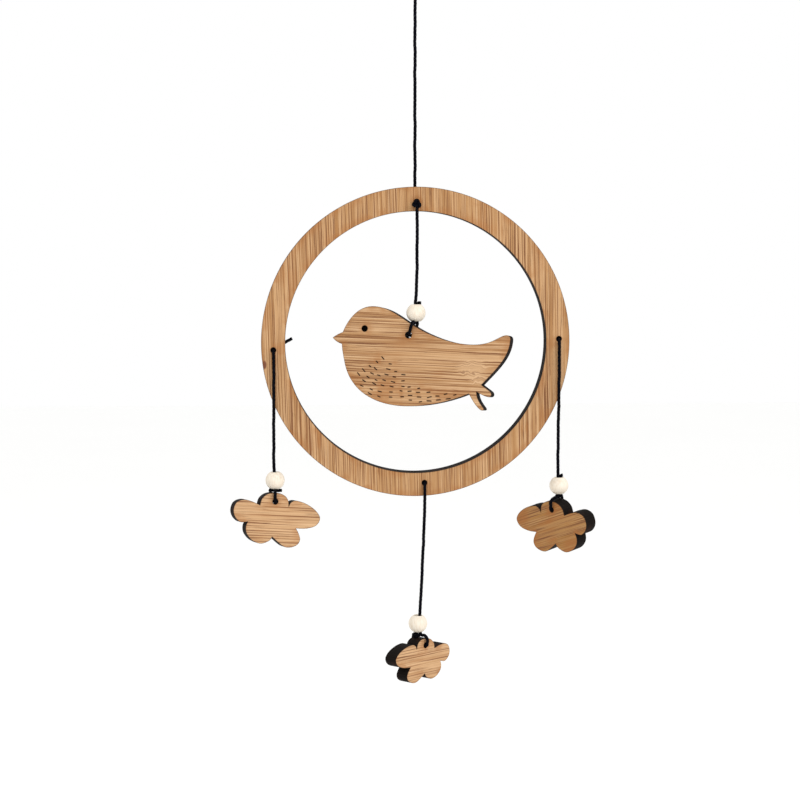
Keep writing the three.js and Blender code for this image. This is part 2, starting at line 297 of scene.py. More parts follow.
def smoothRoute(route):
    points = [Vector(point) for point in route]
    points = [points[0] * 2 - points[1]] + points + [points[-1] * 2 - points[-2]]
    line = []
    steps = cordSetup["stepsPerPoint"]
    for number in range(len(points) - 3):
        for step in range(steps):
            line.append(centripetal(*points[number : number + 4], step / steps))
    line.append(points[-2])
    return wavered(evenly(line, cordSetup["ringStep"]), points[1:-1])


def cordFinish():
    finish = Finish("waxed_black_cord")
    place = finish.node("TexCoord", {}, {}, output="Object")
    along = finish.node("Attribute", {"attribute_name": "alongCord"}, {}, output="Fac")
    cosine = finish.node("Attribute", {"attribute_name": "cordCosine"}, {}, output="Fac")
    sine = finish.node("Attribute", {"attribute_name": "cordSine"}, {}, output="Fac")
    lay = finish.node("CombineXYZ", {}, {0: along * 0.25, 1: cosine * 1.6, 2: sine * 1.6})
    fibres = finish.noise(lay, 3.0, 4.0, 0.7)
    # patches of wax: they shine more through lower roughness, and their colour also carries a painted sheen
    waxAndSheen = finish.noise(place, 420.0, 3.0, 0.6)
    worn = finish.noise(place, 2600.0, 2.0, 0.6)
    colour = finish.mix(fibres.between(0.35, 0.75), paint(3, 3, 7), paint(10, 10, 19))
    # where the wax lies the colour is lifted to a lighter bluish black, a painted sheen
    colour = finish.mix(waxAndSheen.between(0.55, 0.8) * 0.5, colour, paint(24, 26, 40))
    finish.shader.inputs["Specular IOR Level"].default_value = 0.04
    rough = 0.62 - 0.26 * waxAndSheen.between(0.4, 0.75) + 0.1 * worn
    relief = finish.bump(fibres + 0.35 * worn, 0.5, 0.00012)
    return finish.dress(**{"Base Color": colour, "Roughness": rough, "Normal": relief})


def twistTree(material):
    # sweeps a strand-shaped section along a curve and turns it as it goes
    tree = bpy.data.node_groups.new("twistedCord", "GeometryNodeTree")
    sizes = {}
    tree.interface.new_socket("Curve", in_out="INPUT", socket_type="NodeSocketGeometry")
    for name in ("cordRadius", "twistPitch", "strands", "strandDepth"):
        made = tree.interface.new_socket(name, in_out="INPUT", socket_type="NodeSocketFloat")
        sizes[name] = made.identifier
    tree.interface.new_socket("Mesh", in_out="OUTPUT", socket_type="NodeSocketGeometry")

    def node(kind, settings=None, inputs=None):
        made = tree.nodes.new(kind)
        for key, value in (settings or {}).items():
            setattr(made, key, value)
        for key, value in (inputs or {}).items():
            if isinstance(value, bpy.types.NodeSocket):
                tree.links.new(value, made.inputs[key])
            else:
                made.inputs[key].default_value = value
        return made

    def maths(operation, first, second=0.0):
        return node("ShaderNodeMath", {"operation": operation}, {0: first, 1: second}).outputs[0]

    entry = node("NodeGroupInput")
    spline = node("GeometryNodeSplineParameter")
    turns = maths("DIVIDE", spline.outputs["Length"], entry.outputs["twistPitch"])
    tilt = maths("MULTIPLY", turns, 2 * math.pi)
    tilted = node("GeometryNodeSetCurveTilt", {}, {"Curve": entry.outputs["Curve"], "Tilt": tilt})
    along = maths("MULTIPLY", spline.outputs["Length"], 1 / mm)
    path = node(
        "GeometryNodeStoreNamedAttribute",
        {"data_type": "FLOAT", "domain": "POINT"},
        {"Geometry": tilted.outputs[0], "Name": "alongCord", "Value": along},
    )
    circle = node(
        "GeometryNodeCurvePrimitiveCircle",
        {"mode": "RADIUS"},
        {"Resolution": cordSetup["sides"], "Radius": entry.outputs["cordRadius"]},
    )
    around = maths("MULTIPLY", node("GeometryNodeSplineParameter").outputs["Factor"], 2 * math.pi)
    half = maths("MULTIPLY", maths("MULTIPLY", around, entry.outputs["strands"]), 0.5)
    groove = maths("SUBTRACT", 1.0, maths("ABSOLUTE", maths("COSINE", half)))
    shrink = maths("SUBTRACT", 1.0, maths("MULTIPLY", groove, entry.outputs["strandDepth"]))
    ringPlace = node("GeometryNodeInputPosition")
    scaled = node("ShaderNodeVectorMath", {"operation": "SCALE"}, {0: ringPlace.outputs[0], "Scale": shrink})
    lobed = {"Geometry": circle.outputs[0], "Position": scaled.outputs[0]}
    section = node("GeometryNodeSetPosition", {}, lobed).outputs[0]
    for name, operation in (("cordCosine", "COSINE"), ("cordSine", "SINE")):
        section = node(
            "GeometryNodeStoreNamedAttribute",
            {"data_type": "FLOAT", "domain": "POINT"},
            {"Geometry": section, "Name": name, "Value": maths(operation, around)},
        ).outputs[0]
    swept = node(
        "GeometryNodeCurveToMesh",
        {},
        {"Curve": path.outputs[0], "Profile Curve": section, "Fill Caps": True},
    )
    whole = node("GeometryNodeRealizeInstances", {}, {"Geometry": swept.outputs[0]})
    dressed = node("GeometryNodeSetMaterial", {}, {"Geometry": whole.outputs[0], "Material": material})
    smooth = node("GeometryNodeSetShadeSmooth", {}, {"Geometry": dressed.outputs[0], "Shade Smooth": True})
    leave = node("NodeGroupOutput")
    tree.links.new(smooth.outputs[0], leave.inputs[0])
    return tree, sizes


cordMaterial = cordFinish()
cordTree, cordSockets = twistTree(cordMaterial)


def twistedTube(name, points, closed=False):
    # a mesh tube of twisted strands that follows the points, in millimetres
    curve = bpy.data.curves.new(name + "_path", "CURVE")
    curve.dimensions = "3D"
    curve.twist_mode = "MINIMUM"
    spline = curve.splines.new("POLY")
    spline.points.add(len(points) - 1)
    for spot, point in zip(spline.points, points):
        spot.co = (*(Vector(point) * mm), 1.0)
    spline.use_cyclic_u = closed
    guide = bpy.data.objects.new(name + "_path", curve)
    scene.collection.objects.link(guide)
    modifier = guide.modifiers.new("twist", "NODES")
    modifier.node_group = cordTree
    modifier[cordSockets["cordRadius"]] = cordSetup["diameter"] / 2 * mm
    modifier[cordSockets["twistPitch"]] = cordSetup["twistPitch"] * mm
    modifier[cordSockets["strands"]] = float(cordSetup["strands"])
    modifier[cordSockets["strandDepth"]] = cordSetup["strandDepth"]
    graph = bpy.context.evaluated_depsgraph_get()
    mesh = bpy.data.meshes.new_from_object(guide.evaluated_get(graph))
    mesh.name = name
    guide.modifiers.remove(modifier)
    bpy.data.objects.remove(guide)
    tube = bpy.data.objects.new(name, mesh)
    scene.collection.objects.link(tube)
    if not mesh.materials:
        mesh.materials.append(cordMaterial)
    return tube


def flipIfInside(piece):
    # turns the faces outwards where the volume comes out negative
    work = bmesh.new()
    work.from_mesh(piece.data)
    if work.calc_volume(signed=True) < 0:
        bmesh.ops.reverse_faces(work, faces=work.faces)
    work.to_mesh(piece.data)
    work.free()


# Each knot: its cord, its middle, its turn about Y, its size against the usual one, and how flat it is.
knotRows = {
    "loop_knot": ("hanging_cord", (0, 0, -28.4), 0, 1.0, 1.0),
    "ring_knot_top": ("hanging_cord", (-0.1, -8.8, -116.1), 8, 0.92, 1.0),
    "ring_knot_left": ("cord_left", (-59.5, 4.4, -176.2), 30, 0.95, 1.0),
    "ring_knot_right": ("cord_right", (60.9, 4.2, -171.8), -20, 0.95, 1.0),
    "ring_knot_low": ("cord_low", (4.0, 7.1, -232.8), 15, 0.95, 1.0),
    "bead_knot_right": ("cord_right", (61.2, -4.9, -238.8), 90, 0.75, 0.4),
    "bead_knot_low": ("cord_low", (0.4, -2.9, -298.3), 90, 0.8, 0.45),
}
knotSetup = {"lobe": 0.52, "depth": 0.6, "points": 150}


def makeKnot(name, middle, turned, size, flatness):
    # a tied overhand knot, drawn tight: a three-lobed closed turn of the cord
    turn = Matrix.Rotation(math.radians(turned), 3, "Y")
    lobe = knotSetup["lobe"] * size
    points = []
    for number in range(knotSetup["points"]):
        angle = 2 * math.pi * number / knotSetup["points"]
        spot = Vector(
            (
                lobe * (math.sin(angle) + 2 * math.sin(2 * angle)),
                -knotSetup["depth"] * math.sin(3 * angle),
                -lobe * (math.cos(angle) - 2 * math.cos(2 * angle)),
            )
        )
        spot = turn @ spot
        spot.z *= flatness
        points.append(spot + Vector(middle))
    piece = twistedTube(name, points, closed=True)
    flipIfInside(piece)
    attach(piece, "root")
    return piece


def makeCords():
    knotPieces = {name: makeKnot(name, *row[1:]) for name, row in knotRows.items()}
    for name, route in cordRoutes.items():
        line = smoothRoute(route)
        piece = twistedTube(name.replace("cord", "twisted_cord"), line)
        flipIfInside(piece)
        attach(piece, "root")
        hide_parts(name)
        length = sum((after - before).length for before, after in zip(line, line[1:])) * mm
        tuple(line[-1] * mm) if name == "hanging_cord" else tuple(line[0] * mm)
        [tuple(point * mm) for point in line]
        print(name, "is", round(length * 1000, 1), "mm long")


makeCords()
print("cords laid")

# Boards: the ring, the bird and the clouds

boardSetup = {
    "thickness": 6.0,
    "softEdge": 0.07,
    "outlineStep": 0.45,
    "bands": (0.3, 0.75, 1.5),  # rows of points this far in from every edge
    "bandGap": 0.88,  # the least share of a row's distance that its points keep from other edges
    "gridStep": 2.2,
    "gridRow": 0.87,
    "gridGap": 0.6,
}


def placeMatrix(hole, yaw=0.0, pitch=0.0, roll=0.0):
    turn = (
        Matrix.Rotation(math.radians(yaw), 4, "Z")
        @ Matrix.Rotation(math.radians(pitch), 4, "X")
        @ Matrix.Rotation(math.radians(roll), 4, "Y")
    )
    return Matrix.Translation(Vector(hole)) @ turn


def turnedLoop(x, z, radius, sides):
    turns = [2 * math.pi * side / sides for side in range(sides)]
    return [Vector((x + radius * math.cos(turn), z + radius * math.sin(turn))) for turn in turns]


def signedArea(loop):
    return sum(a.x * b.y - b.x * a.y for a, b in zip(loop, loop[1:] + loop[:1])) / 2


def movedIn(loop, distance):
    # the loop moved to its left by the distance, which is into the board for a loop that runs the right way
    moved = []
    for number, here in enumerate(loop):
        before, after = loop[number - 1], loop[(number + 1) % len(loop)]
        first, second = (here - before).normalized(), (after - here).normalized()
        left = Vector((-first.y - second.y, first.x + second.x))
        if left.length < 1e-6:
            left = Vector((-first.y, first.x))
        left.normalize()
        reach = distance / max(0.45, left.dot(Vector((-first.y, first.x))))
        moved.append(here + left * reach)
    return moved


def distanceTo(points, loops):
    # the distance from each point to the nearest of the loops
    spots = np.array([tuple(point) for point in points])
    nearest = np.full(len(spots), 1e9)
    for loop in loops:
        start = np.array([tuple(point) for point in loop])
        run = np.roll(start, -1, axis=0) - start
        size = (run**2).sum(axis=1)
        size[size == 0] = 1e-12
        for first, step, square in zip(start, run, size):
            away = spots - first
            share = np.clip((away @ step) / square, 0, 1)
            gap = away - share[:, None] * step
            nearest = np.minimum(nearest, np.sqrt((gap**2).sum(axis=1)))
    return nearest


def insideLoop(points, loop):
    spots = np.array([tuple(point) for point in points])
    x, y = spots[:, 0], spots[:, 1]
    inside = np.zeros(len(spots), bool)
    for a, b in zip(loop, loop[1:] + loop[:1]):
        crosses = (a.y > y) != (b.y > y)
        with np.errstate(divide="ignore", invalid="ignore"):
            inside ^= crosses & (x < (b.x - a.x) * (y - a.y) / (b.y - a.y if b.y != a.y else 1e-12) + a.x)
    return inside


def onFace(points, outline, openings):
    keep = insideLoop(points, outline)
    for loop in openings:
        keep &= ~insideLoop(points, loop)
    return keep


def boardGrid(outline):
    # points in staggered rows over the whole of the outline
    low = [min(point[axis] for point in outline) for axis in (0, 1)]
    high = [max(point[axis] for point in outline) for axis in (0, 1)]
    step = boardSetup["gridStep"]
    rise = step * boardSetup["gridRow"]
    grid = []
    row = 0
    while low[1] + row * rise < high[1]:
        column = 0
        while low[0] + column * step < high[0]:
            grid.append(Vector((low[0] + (column + 0.5 * (row % 2)) * step, low[1] + row * rise)))
            column += 1
        row += 1
    return grid


def pointsOnFace(loops):
    # rows of points near every edge, and the grid between them
    free = []
    for loop in loops:
        for reach in boardSetup["bands"]:
            rim = evenly(loop, max(boardSetup["outlineStep"], reach), closed=True)
            far = movedIn(rim, reach)
            gaps = distanceTo(far, loops)
            free += [point for point, gap in zip(far, gaps) if gap > boardSetup["bandGap"] * reach]
    grid = boardGrid(loops[0])
    least = boardSetup["bands"][-1] + boardSetup["gridGap"]
    free += [point for point, gap in zip(grid, distanceTo(grid, loops)) if gap > least]
    keep = onFace(free, loops[0], loops[1:])
    return [point for point, good in zip(free, keep) if good]


def faceOfBoard(loops):
    # a flat face that fills the first loop around the others, and each loop's places in it
    spots = pointsOnFace(loops)
    edges, starts = [], []
    for loop in loops:
        start = len(spots)
        starts.append(start)
        spots += loop
        edges += [(start + number, start + (number + 1) % len(loop)) for number in range(len(loop))]
    corners, _, faces, origins, _, _ = delaunay_2d_cdt(spots, edges, [], 0, 1e-6)
    middles = [sum((corners[index] for index in face), Vector((0, 0))) / len(face) for face in faces]
    keep = onFace(middles, loops[0], loops[1:])
    faces = [face for face, good in zip(faces, keep) if good]
    where = {}
    for index, sources in enumerate(origins):
        for source in sources:
            where[source] = index
    rims = [[where[start + number] for number in range(len(loop))] for start, loop in zip(starts, loops)]
    return corners, faces, rims


class BoardMesh:
    # A board in its own frame, its front at half the thickness towards -Y. Slot 0 is bamboo, slot 1 burnt.
    def __init__(self):
        self.half = boardSetup["thickness"] / 2
        self.work = bmesh.new()
        self.edgeLayer = self.work.verts.layers.float.new("edgeDistance")
        self.alongLayer = self.work.verts.layers.float.new("alongCut")

    def vertex(self, spot, depth, edge=0.0, along=0.0):
        made = self.work.verts.new(Vector((spot[0], depth, spot[1])))
        made[self.edgeLayer] = edge
        made[self.alongLayer] = along
        return made

    def face(self, corners, slot):
        self.work.faces.new(corners).material_index = slot

    def band(self, upper, lower):
        # burnt faces between two closed rows
        for index in range(len(upper)):
            after = (index + 1) % len(upper)
            self.face([upper[after], upper[index], lower[index], lower[after]], 1)

    def side(self, loops, depth):
        # a flat side with its openings; gives back the row of vertices along each loop
        corners, faces, rims = faceOfBoard(loops)
        made = [self.vertex(corner, depth, gap) for corner, gap in zip(corners, distanceTo(corners, loops))]
        for triangle in faces:
            a, b, c = (corners[index] for index in triangle)
            flat = (b.x - a.x) * (c.y - a.y) - (b.y - a.y) * (c.x - a.x)
            order = triangle if (flat > 0) == (depth < 0) else triangle[::-1]
            self.face([made[index] for index in order], 0)
        return [[made[index] for index in rim] for rim in rims]

    def wall(self, loop, front, back):
        # a cut wall, its edges softened where it meets the two sides
        lengths, total = [], 0.0
        for spot, after in zip(loop, loop[1:] + loop[:1]):
            lengths.append(total)
            total += (after - spot).length
        straight = self.half - boardSetup["softEdge"]
        rows = [front]
        for depth in (-straight, -self.half / 3, self.half / 3, straight):
            rows.append([self.vertex(spot, depth, 0.0, along) for spot, along in zip(loop, lengths)])
        rows.append(back)
        for row in (front, back):
            for vert, along in zip(row, lengths):
                vert[self.alongLayer] = along
        for upper, lower in zip(rows, rows[1:]):
            self.band(upper, lower)

    def pit(self, top, loop, depth, share):
        # a blind hole whose floor is a share of its mouth and a little hollow
        middle = sum(loop, Vector((0, 0))) / len(loop)
        floor = [self.vertex(middle + (spot - middle) * share, -self.half + depth) for spot in loop]
        self.band(top, floor)
        centre = self.vertex(middle, -self.half + depth * 1.04)
        for index in range(len(floor)):
            self.face([floor[(index + 1) % len(floor)], floor[index], centre], 1)

    def finished(self, name, place):
        self.work.transform(Matrix.Scale(mm, 4) @ place)
        if self.work.calc_volume(signed=True) < 0:
            bmesh.ops.reverse_faces(self.work, faces=self.work.faces)
        mesh = bpy.data.meshes.new(name)
        self.work.to_mesh(mesh)
        self.work.free()
        return mesh


def wound(loop, forwards):
    # the loop counter-clockwise seen from the front, or clockwise
    return loop if (signedArea(loop) > 0) == forwards else loop[::-1]


def makeBoard(name, node, outline, place, grain, holes=(), pits=()):
    # each pit is its mouth, its depth and its floor's share of the mouth
    board = BoardMesh()
    walls = [wound(outline, True)] + [wound(loop, False) for loop in holes]
    pits = [(wound(loop, False), depth, share) for loop, depth, share in pits]
    rims = [movedIn(loop, boardSetup["softEdge"]) for loop in walls]
    front = board.side(rims + [loop for loop, _, _ in pits], -board.half)
    back = board.side(rims, board.half)
    for loop, frontRow, backRow in zip(walls, front, back):
        board.wall(loop, frontRow, backRow)
    for top, pit in zip(front[len(walls) :], pits):
        board.pit(top, *pit)
    mesh = board.finished(name, place)
    mesh.materials.append(bambooFinish(name + "_bamboo", place, **grain))
    mesh.materials.append(burntFinish())
    piece = bpy.data.objects.new(name, mesh)
    scene.collection.objects.link(piece)
    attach(piece, "root")
    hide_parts(node)
    print(name, "made with", len(mesh.polygons), "faces")


# Bamboo: grain along the board's own x after a turn in its face

bambooColours = {
    "light": paint(209, 172, 132),
    "pale": paint(195, 154, 111),
    "tan": paint(179, 136, 92),
    "warm": paint(158, 112, 68),
    "amber": paint(156, 98, 46),
    "aged": paint(153, 104, 36),
    "fibre": paint(118, 74, 42),
    "knot": paint(96, 40, 22),
    "scorch": paint(84, 52, 32),
}


# The grain's settings: its turn in the board's face, its random seed, how strong its dark lines are, how
# aged or how fair the wood is, how much smoke lies along the edges, and its marks. A knot is a pale patch
# that bends the grain, a spot is dark and a burn is scorched. Each gives its place along and across the
# grain, then its size.
def bambooFinish(
    name, place, turn, seed, contrast, smoke, tone=0.0, fair=0.0, knots=(), spots=(), burns=()
):
    finish = Finish(name)
    turned = place @ Matrix.Rotation(math.radians(-turn), 4, "Y")
    inputs = {
        "Vector": finish.node("TexCoord", {}, {}, output="Object"),
        "Location": turned.to_translation() * mm,
        "Rotation": turned.to_euler("XYZ"),
        "Scale": (mm, mm, mm),
    }
    local = finish.node("Mapping", {"vector_type": "TEXTURE"}, inputs)
    split = {axis: finish.node("SeparateXYZ", {}, {0: local}, output=axis) for axis in "XYZ"}
    along, deep, across = split["X"], split["Y"], split["Z"]
    bend = finish.noise(finish.node("CombineXYZ", {}, {0: along * 0.02, 1: seed, 2: across * 0.03}), 1.0, 1.0)
    across = across + 0.9 * (bend - 0.5)
    swirl = finish.noise(local, 0.19, 2.0, 0.5, 0.6)
    nearKnot = []
    for x, z, length, height in knots:
        away = ((along - x) / length) ** 2 + ((across - z) / height) ** 2
        nearKnot.append(1 - away.between(0.1, 1.5))
    for nearby in nearKnot:
        across = across + nearby * 6.0 * (swirl - 0.5)

    def streaks(length, width, shift, detail, roughness=0.55):
        parts = {0: along / length, 1: deep * 0.35 + (seed + shift), 2: across / width}
        spot = finish.node("CombineXYZ", {}, parts)
        return finish.noise(spot, 1.0, detail, roughness)

    strips = streaks(160, 3.4, 0.0, 1.0)
    bands = streaks(110, 1.1, 11.3, 2.0)
    lines = streaks(60, 0.5, 23.1, 1.0, 0.5)
    threads = streaks(26, 0.26, 37.7, 2.0, 0.6)
    pores = streaks(6, 0.3, 51.9, 1.0)
    cloudy = finish.noise(local, 0.055, 2.0)

    colour = finish.mix(strips.between(0.4, 0.6), bambooColours["pale"], bambooColours["tan"])
    colour = finish.mix(bands.between(0.5, 0.62) * (0.7 * contrast), colour, bambooColours["warm"])
    colour = finish.mix((1 - lines.between(0.34, 0.46)) * 0.8, colour, bambooColours["light"])
    colour = finish.mix(0.8 * tone, colour, bambooColours["aged"])
    colour = finish.mix(fair, colour, bambooColours["light"])
    colour = finish.mix(lines.between(0.56, 0.61) * (0.95 * contrast), colour, bambooColours["fibre"])
    colour = finish.mix(threads.between(0.55, 0.63) * (0.6 * contrast), colour, bambooColours["fibre"])
    poreMask = pores.between(0.64, 0.72) * lines.between(0.46, 0.56)
    colour = finish.mix(poreMask * 0.6, colour, bambooColours["scorch"])
    amber = cloudy.between(0.5, 0.72) * bands.between(0.4, 0.6)
    colour = finish.mix(amber * (0.35 + tone), colour, bambooColours["amber"])

    for nearby in nearKnot:
        colour = finish.mix(nearby * 0.4, colour, bambooColours["light"])
    for x, z, radius in spots:
        away = ((along - x) / (2.2 * radius)) ** 2 + ((across - z) / radius) ** 2
        colour = finish.mix((1 - away.between(0.4, 1.2)) * 0.85, colour, bambooColours["knot"])

    edge = finish.node("Attribute", {"attribute_name": "edgeDistance"}, {}, output="Fac")
    uneven = finish.noise(local, 0.14, 2.0)
    blotch = (1 - edge.between(0.0, 4.0)) * uneven.between(0.46, 0.62) * smoke
    colour = finish.mix(blotch, colour, bambooColours["amber"])
    for x, z, radius in burns:
        away = ((along - x) ** 2 + (across - z) ** 2) / radius**2
        burn = (1 - away.between(0.1, 1.6)) * (0.3 + 0.7 * bands.between(0.35, 0.6))
        colour = finish.mix(burn * 0.85, colour, bambooColours["amber"])
    wander = finish.noise(local, 1.4, 2.0)
    rim = 1 - (edge / (0.1 + 0.3 * wander)).between(0.25, 1.0)
    colour = finish.mix(rim * 0.5, colour, bambooColours["scorch"])

    rough = 0.52 + 0.16 * threads + 0.12 * lines
    height = 0.5 * lines + 0.35 * threads + 0.9 * (1 - poreMask)
    relief = finish.bump(height, 0.35, 0.00012)
    finish.shader.inputs["Specular IOR Level"].default_value = 0.3
    return finish.dress(**{"Base Color": colour, "Roughness": rough, "Normal": relief})


def burntFinish():
    if "burnt_edge" in bpy.data.materials:
        return bpy.data.materials["burnt_edge"]
    finish = Finish("burnt_edge")
    place = finish.node("TexCoord", {}, {}, output="Object")
    along = finish.node("Attribute", {"attribute_name": "alongCut"}, {}, output="Fac")
    strokes = finish.noise(finish.node("CombineXYZ", {}, {0: along * 3.2, 1: 0.0, 2: 0.0}), 1.0, 3.0, 0.7)
    patches = finish.noise(place, 140.0, 3.0, 0.6)
    soot = finish.noise(place, 1500.0, 2.0, 0.6)
    colour = finish.mix(strokes.between(0.35, 0.7), paint(11, 9, 9), paint(31, 24, 20))
    colour = finish.mix(patches.between(0.52, 0.72) * 0.5, colour, paint(56, 30, 22))
    rough = 0.82 - 0.18 * soot
    relief = finish.bump(strokes + 0.4 * soot, 0.5, 0.00015)
    finish.shader.inputs["Specular IOR Level"].default_value = 0.05
    return finish.dress(**{"Base Color": colour, "Roughness": rough, "Normal": relief})


ringSetup = {
    "outer": 65.0,
    "inner": 55.0,
    "hole": 1.15,
    "lean": 2.7,
    "topHole": (0, -3.95, -115),
    "holes": {"top": (58.8, 90.4), "right": (60.5, 1.7), "bottom": (59.4, -86.5), "left": (60.0, -177.4)},
    "grain": {
        "turn": 91.8,
        "seed": 5.0,
        "contrast": 1.0,
        "tone": 0.2,
        "smoke": 0.5,
        "spots": [(-65.6, 65.3, 0.9)],
    },
}


def makeRing():
    reach, angle = ringSetup["holes"]["top"]
    middle = Vector((-reach * math.cos(math.radians(angle)), -reach * math.sin(math.radians(angle))))
    outline = turnedLoop(middle.x, middle.y, ringSetup["outer"], 640)
    loops = [turnedLoop(middle.x, middle.y, ringSetup["inner"], 540)]
    for reach, angle in ringSetup["holes"].values():
        turn = math.radians(angle)
        x, z = middle.x + reach * math.cos(turn), middle.y + reach * math.sin(turn)
        loops.append(turnedLoop(x, z, ringSetup["hole"], 28))
    place = placeMatrix(ringSetup["topHole"], pitch=ringSetup["lean"])
    makeBoard("bamboo_ring", "ring", outline, place, ringSetup["grain"], holes=loops)


birdSetup = {
    "hole": (-2.75, -9.2, -170.4),
    "yaw": -20.8,
    "pitch": -3.8,
    "holeRadius": 1.4,
    "eye": (-19.0, 2.6, 1.35, 2.4),
    "grain": {
        "turn": -1.7,
        "seed": 8.0,
        "contrast": 0.95,
        "smoke": 0.45,
        "knots": [(27.5, -12.6, 6.5, 3.6), (30.5, -17.2, 4.0, 2.4)],
    },
}

# The bird's outline from the tip of the beak, one curve a line: its two handles and its end.
birdStart = (-33.0, -1.3)
birdCurves = [
    ((-31.93, -0.43), (-30.47, 0.37), (-28.6, 1.1)),
    ((-26.6, 5.8), (-22.5, 12.0), (-15.6, 11.9)),
    ((-6.5, 11.8), (-1.5, 4.6), (9.5, 0.2)),
    ((14.5, -1.9), (21.0, -3.9), (28.0, -3.8)),
    ((35.0, -3.7), (37.2, -0.9), (40.4, 0.0)),
    ((42.0, 0.4), (43.0, -0.3), (42.9, -1.6)),
    ((42.6, -9.0), (37.0, -14.0), (31.2, -20.2)),
    ((32.4, -21.07), (33.6, -21.93), (34.8, -22.8)),
    ((36.0, -23.8), (35.4, -25.5), (34.0, -25.1)),
    ((32.4, -24.8), (30.8, -24.0), (29.2, -23.0)),
    ((29.2, -26.0), (31.0, -28.0), (32.2, -29.6)),
    ((32.9, -30.6), (31.7, -31.0), (30.8, -30.3)),
    ((28.8, -28.8), (27.3, -26.2), (26.0, -23.9)),
    ((18.0, -27.2), (9.0, -29.4), (0.0, -29.5)),
    ((-13.5, -29.7), (-25.2, -23.9), (-27.7, -11.0)),
    ((-28.3, -8.4), (-28.8, -6.0), (-28.9, -3.9)),
    ((-30.5, -3.43), (-31.87, -2.57), (-33.0, -1.3)),
]

breastSetup = {
    "length": 1.65,
    "width": 0.36,
    "depth": 0.45,
    "steepness": 0.7,
    "edgeStep": 0.1,
    # each column of cuts: its place along the belly's edge from the feet, its first cut's distance from
    # that edge, the step between its cuts and how many it has
    "columns": [
        (5.3, 1.4, 2.0, 1),
        (9.2, 1.0, 1.7, 2),
        (13.0, 1.3, 1.7, 2),
        (17.0, 1.4, 1.8, 3),
        (21.4, 1.6, 1.95, 4),
        (25.8, 2.7, 1.8, 4),
        (29.6, 4.0, 2.2, 5),
        (34.6, 3.0, 2.15, 6),
        (40.0, 1.9, 2.4, 7),
        (44.7, 1.3, 2.2, 5),
        (49.9, 1.8, 2.4, 5),
        (54.8, 3.8, 3.2, 5),
    ],
}


def bezier(start, curves, step):
    # an outline of curves as points at an even spacing near the step
    line, here, parts = [], Vector(start), 40
    for firstHandle, secondHandle, end in curves:
        one, two, there = Vector(firstHandle), Vector(secondHandle), Vector(end)
        stretch = []
        for number in range(parts + 1):
            t = number / parts
            s = 1 - t
            stretch.append(here * s**3 + one * (3 * s * s * t) + two * (3 * s * t * t) + there * t**3)
        line += evenly(stretch, step)[:-1]
        here = there
    return line


def wobble(number):
    # a steady shift between -1 and 1 for each number
    return 2 * (abs(math.sin(number * 12.9898) * 43758.5453) % 1) - 1


def cutLoop(x, z, slope, length, width):
    # a short slot with round ends
    turn = math.radians(slope)
    ahead = Vector((math.cos(turn), math.sin(turn)))
    aside = Vector((-ahead.y, ahead.x))
    loop = []
    for end in (1, -1):
        for step in range(5):
            angle = math.pi * (step / 4 - 0.5)
            spot = ahead * (math.cos(angle) * width / 2 + length / 2 - width / 2) * end
            loop.append(Vector((x, z)) + spot + aside * (math.sin(angle) * width / 2 * end))
    return loop


def breastCuts():
    # the belly's edge is the outline's last stretches before the throat
    edgeStep = breastSetup["edgeStep"]
    edge = bezier(birdCurves[12][2], birdCurves[13:16], edgeStep)
    cuts = []
    for columnNumber, (along, first, step, count) in enumerate(breastSetup["columns"]):
        for cut in range(count):
            seed = columnNumber * 10 + cut + 1
            place = round((along + 0.5 * wobble(seed)) / edgeStep)
            inset = first + step * cut + 0.25 * wobble(seed + 0.5)
            run = (edge[place + 2] - edge[place - 2]).normalized()
            spot = edge[place] + Vector((run.y, -run.x)) * inset
            edgeSlope = math.degrees(math.atan(run.y / run.x))
            slope = breastSetup["steepness"] * edgeSlope + 9 * wobble(seed + 0.25)
            length = breastSetup["length"] * (1 + 0.28 * wobble(seed + 0.75))
            cuts.append(cutLoop(spot.x, spot.y, slope, length, breastSetup["width"]))
    return cuts


def makeBird():
    outline = bezier(birdStart, birdCurves, boardSetup["outlineStep"])
    place = placeMatrix(birdSetup["hole"], birdSetup["yaw"], birdSetup["pitch"])
    x, z, radius, depth = birdSetup["eye"]
    pits = [(turnedLoop(x, z, radius, 28), depth, 0.9)]
    pits += [(loop, breastSetup["depth"], 0.6) for loop in breastCuts()]
    holes = [turnedLoop(0, 0, birdSetup["holeRadius"], 28)]
    makeBoard("bamboo_bird", "bird", outline, place, birdSetup["grain"], holes=holes, pits=pits)


